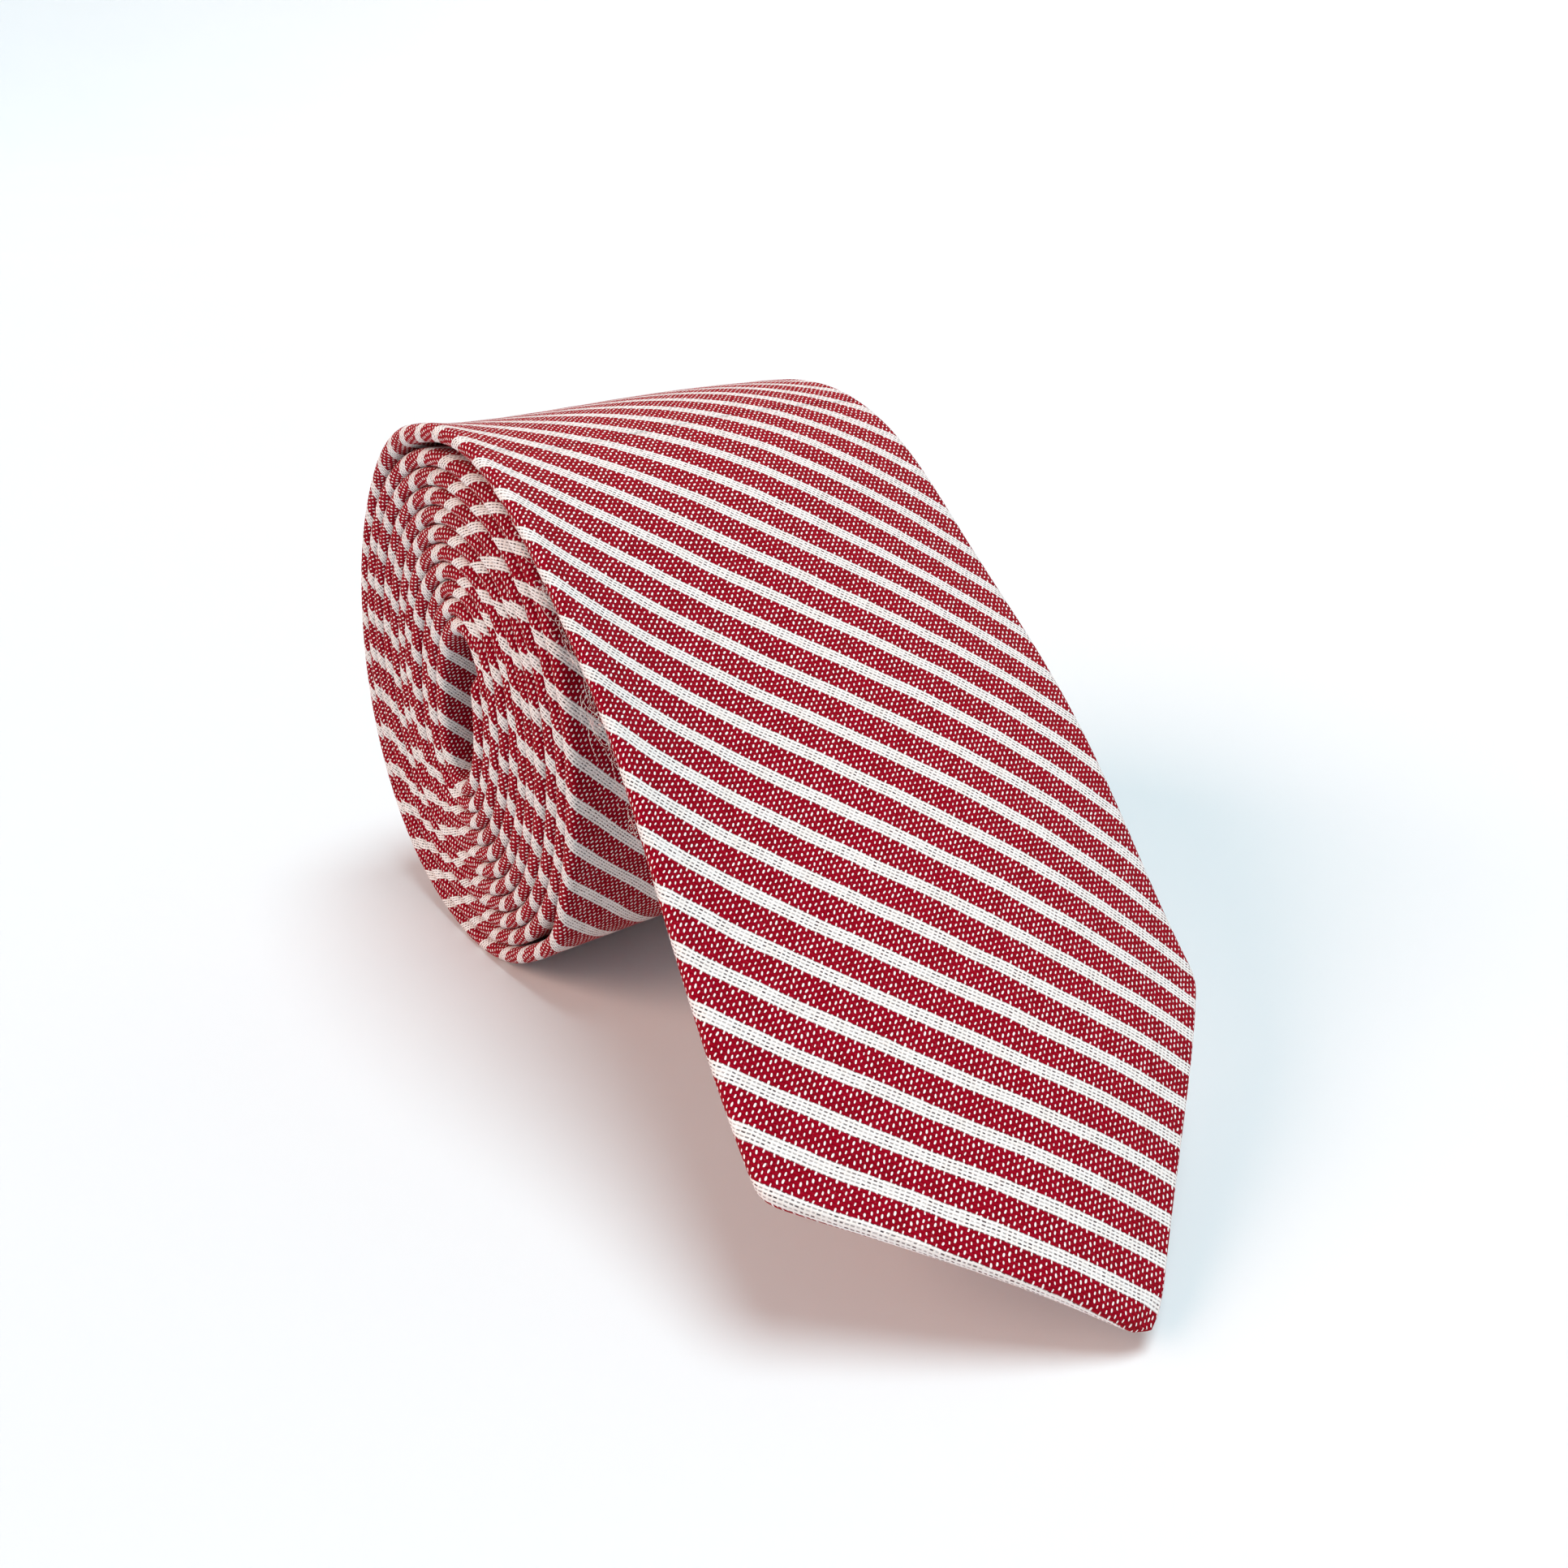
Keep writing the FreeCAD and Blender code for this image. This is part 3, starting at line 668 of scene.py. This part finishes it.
def brushed_wool():
    """Off-white interlining with short hairs."""
    n = Nodes("brushed_wool")
    across, along = n.cloth_axes()
    hairs = n.noise(n.vector(n.math("MULTIPLY", across, 2.5), along), 1.4, 5.0)
    tone = n.noise(n.vector(across, along), 0.2, 2.0)
    colour = n.mix(n.ramp(hairs, 0.3, 0.7), (0.62, 0.57, 0.48, 1), (0.78, 0.75, 0.68, 1))
    colour = n.mix(n.ramp(tone, 0.4, 0.7, 0.0, 0.3), colour, (0.5, 0.46, 0.4, 1))
    return n.finish(colour, 0.95, n.bump(hairs, 0.0003, 0.8), 0.4)


def sewing_thread():
    """Two plies twisted together, from the position in space."""
    n = Nodes("sewing_thread")
    where = n.new("ShaderNodeTexCoord").outputs["Object"]
    twist = n.new("ShaderNodeTexWave", wave_type="BANDS", bands_direction="DIAGONAL")
    n.feed(twist.inputs["Vector"], where)
    twist.inputs["Scale"].default_value = 900.0
    twist.inputs["Distortion"].default_value = 2.0
    colour = n.mix(twist.outputs["Fac"], (0.20, 0.003, 0.015, 1), (0.42, 0.012, 0.04, 1))
    roughness = n.ramp(n.noise(where, 700.0), 0.3, 0.7, 0.55, 0.8)
    return n.finish(colour, roughness, n.bump(twist.outputs["Fac"], 0.00005, 0.7), 0.3)


def woven_tape():
    """Plain cream label tape with a fine rib."""
    n = Nodes("label_tape")
    across, along = n.cloth_axes()
    ribs = n.math("SINE", n.math("MULTIPLY", along, 2 * math.pi / TAPE_RIBS))
    cross = n.math("SINE", n.math("MULTIPLY", across, 2 * math.pi / TAPE_CROSS))
    weave = n.math("ADD", n.math("MULTIPLY", ribs, 0.5), n.math("MULTIPLY", cross, 0.3))
    tone = n.noise(n.vector(across, along), 0.4, 3.0)
    colour = n.mix(n.ramp(tone, 0.3, 0.7), (0.70, 0.66, 0.57, 1), (0.80, 0.77, 0.70, 1))
    # Painted shade: the tape darkens where its weave lies lowest, in the grooves between the ribs.
    colour = n.mix(n.ramp(weave, -0.8, 0.2, 0.35, 0.0), colour, (0.5, 0.46, 0.38, 1))
    return n.finish(colour, n.ramp(tone, 0.3, 0.7, 0.6, 0.8), n.bump(weave, 0.00006, 0.6), 0.15)


def studio_paper():
    """Pale, faintly mottled paper."""
    n = Nodes("studio_paper")
    where = n.new("ShaderNodeTexCoord").outputs["Object"]
    tone = n.noise(where, 6.0, 2.0)
    colour = n.mix(tone, (0.74, 0.77, 0.79, 1), (0.76, 0.79, 0.82, 1))
    return n.finish(colour, 0.9, None, gloss=0.0)


COTTON = shirting()
LINT = cotton_lint()
SATIN = satin()
WOOL = brushed_wool()
THREAD = sewing_thread()
TAPE = woven_tape()


def dress(piece, material):
    piece.data.materials.append(material)
    return piece


# ------------------------------------------------------------------ the cloth

UPPER_JOIN = 0.0814
ROLL_JOIN = 0.1286
TIP_END = POINT_APEX + (math.sqrt(2) - 1) * TIP_ROUNDING
FREE_ROW = 0.0006
ROLL_ROW = 0.0009
COARSE_ROW = 0.0026


def cloth_pieces():
    """The tie's cloth: the blade in three lengths that meet where it is rigid, then neck and tail."""
    lengths = {
        "blade_cloth_lower": (TIP_END, UPPER_JOIN, FREE_ROW),
        "blade_cloth_upper": (UPPER_JOIN, ROLL_JOIN, FREE_ROW),
        "blade_cloth_rolled": (ROLL_JOIN, TAPER_END, ROLL_ROW),
        "neck_cloth": (TAPER_END, NECK_END, ROLL_ROW),
        "tail_cloth": (NECK_END, PATH.end, ROLL_ROW),
    }
    pieces = {}
    for name, (start, end, step) in lengths.items():
        piece = tube(name, rows_between(start, end, step), envelope_loop)
        dress(piece, COTTON)
        width = float(2 * half_width(np.array([max(start, 0)]))[0])
        width = max(width, float(tie_width(end)))
        pieces[name] = piece
    return pieces


def filler_pieces():
    middle = (TAPER_END + NECK_END) / 2
    lengths = {
        "blade_wool_lower": (TIP_END + 0.003, UPPER_JOIN, COARSE_ROW / 2),
        "blade_wool_upper": (UPPER_JOIN, ROLL_JOIN, COARSE_ROW / 2),
        "rolled_wool": (ROLL_JOIN, middle, COARSE_ROW / 2),
        "tail_wool": (middle, PATH.end - TAIL_WIDTH / 2, COARSE_ROW / 2),
    }
    return {name: dress(tube(name, rows_between(start, end, step), filler_loop), WOOL)
            for name, (start, end, step) in lengths.items()}


# ------------------------------------------------------------------ linings, label and stitches

BACK = -THICKNESS / 2
TACK_WIDTH = 0.0069
TACK_LENGTH = 0.0012
LOOP_LENGTH = 0.0036
LOOP_WIDTH = 0.0038
LINT_COUNT = 70
# First, commonest and last station of the loose fibres.
LINT_STATIONS = (0.030, 0.050, 0.072)
# First station, last station and half width.
LABEL = (0.0094, 0.0214, 0.013)
KEEPER = (0.1250, 0.1360, 0.018)
KEEPER_PITCH = 0.0013
TAIL_LINING_LENGTH = 0.044
TAIL_LINING_HALF_WIDTH = 0.0140


PATCH_ROW = 0.001
LINING_THICKNESS = 0.0003
LINING_CLEARANCE = 0.00002
LINING_INSET = 0.00015
LINING_COLUMNS = 31


def tipping(name):
    """Lining in the kite between the hems and the flaps of the blade's point."""
    stations = rows_between(KITE_LOW + 0.0005, TIPPING_PEAK - 0.0013, PATCH_ROW)
    half = np.maximum(kite_half_width(stations)[:, None] - LINING_INSET, WOOL_CLEARANCE)
    sides = half * np.linspace(-1, 1, LINING_COLUMNS)[None]
    top = BACK + LINING_DEPTH - LINING_CLEARANCE
    return dress(strip(name, stations, sides, top, LINING_THICKNESS), SATIN)


def rectangle(name, start, end, side_from, side_to, rise_top, thickness, material):
    """Patch with straight sides on the tie's back."""
    stations = rows_between(start, end, PATCH_ROW)
    columns = max(4, int((side_to - side_from) / PATCH_ROW))
    sides = np.repeat(np.linspace(side_from, side_to, columns)[None], len(stations), 0)
    return dress(strip(name, stations, sides, rise_top, thickness), material)


THREAD_SIDES = 8
# A direction that no thread runs along, to set the tubes' sides out from.
THREAD_REFERENCE = np.array([0.31, 0.87, 0.38])
THREAD_END_SHARE = 0.35


def thread_run(points, radius):
    """Points of a thread, a closed tube through a list of points that narrows at its ends."""
    points = np.asarray(points)
    steps = np.gradient(points, axis=0)
    steps /= np.linalg.norm(steps, axis=1)[:, None]
    first = np.cross(steps, THREAD_REFERENCE)
    first /= np.linalg.norm(first, axis=1)[:, None]
    second = np.cross(steps, first)
    angle = np.linspace(0, 2 * math.pi, THREAD_SIDES, endpoint=False)
    ends = np.sin(np.linspace(0, math.pi, len(points))) ** 0.25
    size = (radius * np.maximum(ends, THREAD_END_SHARE))[:, None, None]
    rings = points[:, None] + size * (first[:, None] * np.cos(angle)[None, :, None]
                                      + second[:, None] * np.sin(angle)[None, :, None])
    return rings.reshape(-1, 3), len(points)


def threads(name, runs, radius):
    """Several short thread runs joined into one piece."""
    all_points, faces = [], []
    for run in runs:
        rings, rows = thread_run(run, radius)
        base = sum(len(p) for p in all_points)
        last_ring = base + (rows - 1) * THREAD_SIDES
        quads = grid_faces(rows, THREAD_SIDES, True)[0] + base
        faces += [tuple(q) for q in quads.tolist()]
        faces.append(tuple(range(base + THREAD_SIDES - 1, base - 1, -1)))
        faces.append(tuple(range(last_ring, last_ring + THREAD_SIDES)))
        all_points.append(rings)
    return dress(new_mesh(name, np.concatenate(all_points), faces), THREAD)


def bridge(start, end, height, count=7):
    """A stitch from one (station, side) to another, rising away from the tie's back by height."""
    share = np.linspace(0, 1, count)
    stations = start[0] + (end[0] - start[0]) * share
    sides = start[1] + (end[1] - start[1]) * share
    return place(stations, sides, BACK - height * np.sin(math.pi * share))


def bar_tack(name, station, width):
    """Close satin stitches over two long ones."""
    half = width / 2
    runs = []
    for share in (0.3, 0.7):
        across = station + TACK_LENGTH * share
        runs.append(bridge((across, -half), (across, half), 0.0003, 15))
    count = int(width / 0.0005)
    for i in range(count):
        side = width * (i + 0.5) / count - half
        runs.append(bridge((station, side), (station + TACK_LENGTH, side + 0.0003), 0.0006))
    return threads(name, runs, 0.0002)


SEAM_PITCH = 0.006
SEAM_STITCH_SHARE = 0.45
SEAM_CATCH = 1.5 * SEAM_HALF_GAP


def slip_stitches(name, start, end):
    """Hidden stitches that catch one fold and then the other along the back seam."""
    count = int((end - start) / SEAM_PITCH)
    runs = []
    for i in range(count):
        station = start + SEAM_PITCH * (i + 0.5)
        side = SEAM_CATCH if i % 2 else -SEAM_CATCH
        runs.append(bridge((station, side), (station + SEAM_PITCH * SEAM_STITCH_SHARE, -side), 0.0001, 6))
    return threads(name, runs, 0.00016)


HEM_STITCH_PITCH = 0.0036
HEM_STITCH_REACH = 0.0006
HEM_STITCH_SLANT = 0.001


def hem_stitches(name):
    """Small slanted stitches that hold the lining to the hems and flaps."""
    runs = []
    for station in np.arange(KITE_LOW + 0.0026, TIPPING_PEAK - 0.0034, HEM_STITCH_PITCH):
        half = float(kite_half_width(station))
        for way in (-1, 1):
            start = (station, way * (half - HEM_STITCH_REACH))
            end = (station + HEM_STITCH_SLANT, way * (half + HEM_STITCH_REACH))
            runs.append(bridge(start, end, 0.00008, 5))
    return threads(name, runs, 0.00013)


def spare_loop(name):
    """Loop of spare thread at the end of the slip stitch, lying below the bar tack."""
    angle = np.linspace(0, math.pi, 30)
    stations = TIPPING_PEAK - 0.0005 - LOOP_LENGTH * np.sin(angle)
    sides = LOOP_WIDTH / 2 * np.cos(angle)
    hang = BACK - 0.0005 - 0.001 * np.sin(angle)
    return threads(name, [place(stations, sides, hang)], 0.0002)


def fibre(rng, station, side, reach):
    """One curled fibre standing off the cloth's edge."""
    share = np.linspace(0, 1, 9)
    curl = rng.uniform(-1.6, 1.6) * share ** 2 + rng.uniform(-0.4, 0.4) * np.sin(5 * share)
    stations = station + reach * (rng.uniform(-1.0, 1.0) * share + curl)
    sides = side - reach * rng.uniform(0.1, 0.9) * np.sin(share * rng.uniform(1.2, 3.0))
    rises = -0.0003 - reach * rng.uniform(-0.1, 0.8) * share
    return place(stations, sides, rises)


def loose_fibres(name):
    """Fine lint standing off the blade's left fold, thickest where the blade has rubbed."""
    rng = np.random.default_rng(7)
    runs = []
    for _ in range(LINT_COUNT):
        station = rng.triangular(*LINT_STATIONS)
        side = 0.0003 - float(half_width(np.array(station)))
        runs.append(fibre(rng, station, side, rng.uniform(0.0006, 0.0026)))
    piece = threads(name, runs, 0.000018)
    piece.data.materials.clear()
    return dress(piece, LINT)


# ------------------------------------------------------------------ putting it together

# Length of cloth past the bend station where the back seam's stitches split into two pieces.
JOINT_BLEND = 0.014


def cross_bend(piece):
    """Bakes the transform of a piece of the free blade into its mesh."""
    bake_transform(piece)


def cross_lift(piece):
    """Bakes the transform of a piece where the blade leaves the roll into its mesh."""
    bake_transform(piece)


def in_roll(piece):
    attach(piece, "roll")


def stand_for(node, piece, follow):
    """The piece takes the place of a CAD node and moves as follow says."""
    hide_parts(node)
    follow(piece)


def build_layers():
    cloth = cloth_pieces()
    wool = filler_pieces()
    stand_for("lower_blade_shell", cloth["blade_cloth_lower"], cross_bend)
    stand_for("upper_blade_shell", cloth["blade_cloth_upper"], cross_lift)
    stand_for("rolled_blade_shell", cloth["blade_cloth_rolled"], in_roll)
    stand_for("neck_shell", cloth["neck_cloth"], in_roll)
    stand_for("tail_shell", cloth["tail_cloth"], in_roll)
    stand_for("lower_interlining", wool["blade_wool_lower"], cross_bend)
    stand_for("upper_interlining", wool["blade_wool_upper"], cross_lift)
    stand_for("rolled_interlining", wool["rolled_wool"], in_roll)
    stand_for("tail_interlining", wool["tail_wool"], in_roll)


def build_blade_back():
    """Lining, label, stitches and loose threads of the free blade."""
    lining = tipping("blade_lining")
    stand_for("blade_tipping", lining, cross_bend)
    start, end, half = LABEL
    label = rectangle("label_tape", start, end, -half, half, BACK + 0.0001, 0.00026, TAPE)
    stand_for("blank_label", label, cross_bend)
    stand_for("blade_bar_tack", bar_tack("blade_tack", TIPPING_PEAK + 0.0006, TACK_WIDTH), cross_bend)
    stand_for("slack_thread_loop", spare_loop("spare_thread"), cross_bend)
    cross_bend(hem_stitches("lining_stitches"))
    cross_bend(loose_fibres("fold_lint"))
    middle = BEND_STATION + JOINT_BLEND
    low_seam = slip_stitches("seam_stitches_lower", TIPPING_PEAK + 0.0034, middle)
    high_seam = slip_stitches("seam_stitches_upper", middle, PATH.lift_off + 0.017)
    stand_for("upper_slip_stitch", low_seam, cross_bend)
    stand_for("upper_slip_stitch", high_seam, cross_lift)


def build_keeper():
    start, end, half = KEEPER
    under = BACK - 0.0001
    keeper = rectangle("keeper_band", start, end, -half, half, under, 0.0002, COTTON)
    stand_for("keeper_loop", keeper, in_roll)
    for side_name, way in (("left", -1), ("right", 1)):
        runs = []
        for i in range(int((end - start) / KEEPER_PITCH)):
            station = start + KEEPER_PITCH * (i + 0.4)
            inner = (station, way * (half - 0.0004))
            outer = (station + 0.0009, way * (half + 0.001))
            runs.append(bridge(inner, outer, 0.0004))
        stitches = threads("keeper_stitches_" + side_name, runs, 0.00014)
        stand_for("keeper_stitch_" + side_name, stitches, in_roll)


def build_tail_back():
    end = PATH.end - TAIL_WIDTH / 2
    start = end - TAIL_LINING_LENGTH
    half = TAIL_LINING_HALF_WIDTH
    lining = rectangle("tail_lining", start, end, -half, half, BACK - 0.00003, 0.00009, SATIN)
    stand_for("tail_tipping", lining, in_roll)
    stand_for("tail_bar_tack", bar_tack("tail_tack", start - 0.0017, TACK_WIDTH), in_roll)
    seam = slip_stitches("seam_stitches", PATH.lift_off + 0.026, start - 0.003)
    stand_for("rolled_slip_stitch", seam, in_roll)


# ------------------------------------------------------------------ studio

CAMERA_PLACE = Vector((-0.10294, -0.16710, 0.10880))
CAMERA_AIM = Vector((0.545, 0.7194, -0.4302))
CAMERA_LENS = 34.34
FLOOR_RADIUS = 2.5
WALL_RADIUS = 4.0
WALL_HEIGHT = 2.0
# Direction the light comes from, its strength, its softness in degrees and its colour.
LIGHTS = {
    "key": ((0.08, -0.14, 1.0), 2.35, 30, (0.81, 0.97, 1.0)),
    "fill": ((-0.90, 0.22, 0.42), 4.3, 50, (1.0, 0.62, 0.49)),
}
SKY = (0.95, 0.97, 1.0, 1)
SKY_STRENGTH = 0.28


def add_camera():
    data = bpy.data.cameras.new("camera")
    data.lens = CAMERA_LENS
    data.sensor_width = 36
    data.clip_start = 0.005
    camera = bpy.data.objects.new("camera", data)
    bpy.context.scene.collection.objects.link(camera)
    camera.location = CAMERA_PLACE
    camera.rotation_euler = CAMERA_AIM.to_track_quat("-Z", "Y").to_euler()
    bpy.context.scene.camera = camera


def add_light(name, towards, strength, softness, colour):
    data = bpy.data.lights.new(name, "SUN")
    data.energy = strength
    data.angle = math.radians(softness)
    data.color = colour
    lamp = bpy.data.objects.new(name, data)
    bpy.context.scene.collection.objects.link(lamp)
    lamp.location = towards
    lamp.rotation_euler = Vector(towards).to_track_quat("Z", "Y").to_euler()


def add_backdrop():
    """Pale studio floor that turns up into a round wall a long way off."""
    bend = np.linspace(0, math.pi / 2, 13)
    radius = np.concatenate([[0.3, 1.0], FLOOR_RADIUS + (WALL_RADIUS - FLOOR_RADIUS) * np.sin(bend)])
    height = np.concatenate([[0, 0], WALL_HEIGHT * (1 - np.cos(bend))])
    around = np.linspace(0, 2 * math.pi, 64, endpoint=False)
    points = np.stack([radius[:, None] * np.cos(around), radius[:, None] * np.sin(around),
                       np.repeat(height[:, None], len(around), 1)], -1).reshape(-1, 3)
    quads = grid_faces(len(radius), len(around), True)[0]
    faces = [tuple(quad) for quad in quads.tolist()] + [tuple(range(len(around)))[::-1]]
    floor = new_mesh("studio_floor", points, faces)
    floor.data.materials.append(studio_paper())


def add_studio():
    add_backdrop()
    world = bpy.data.worlds.new("studio")
    world.use_nodes = True
    background = world.node_tree.nodes["Background"]
    background.inputs[0].default_value = SKY
    background.inputs[1].default_value = SKY_STRENGTH
    bpy.context.scene.world = world
    for name, (towards, strength, softness, colour) in LIGHTS.items():
        add_light(name, towards, strength, softness, colour)


build_layers()
build_blade_back()
build_keeper()
build_tail_back()
add_camera()
add_studio()
bpy.context.scene.view_settings.view_transform = "Standard"
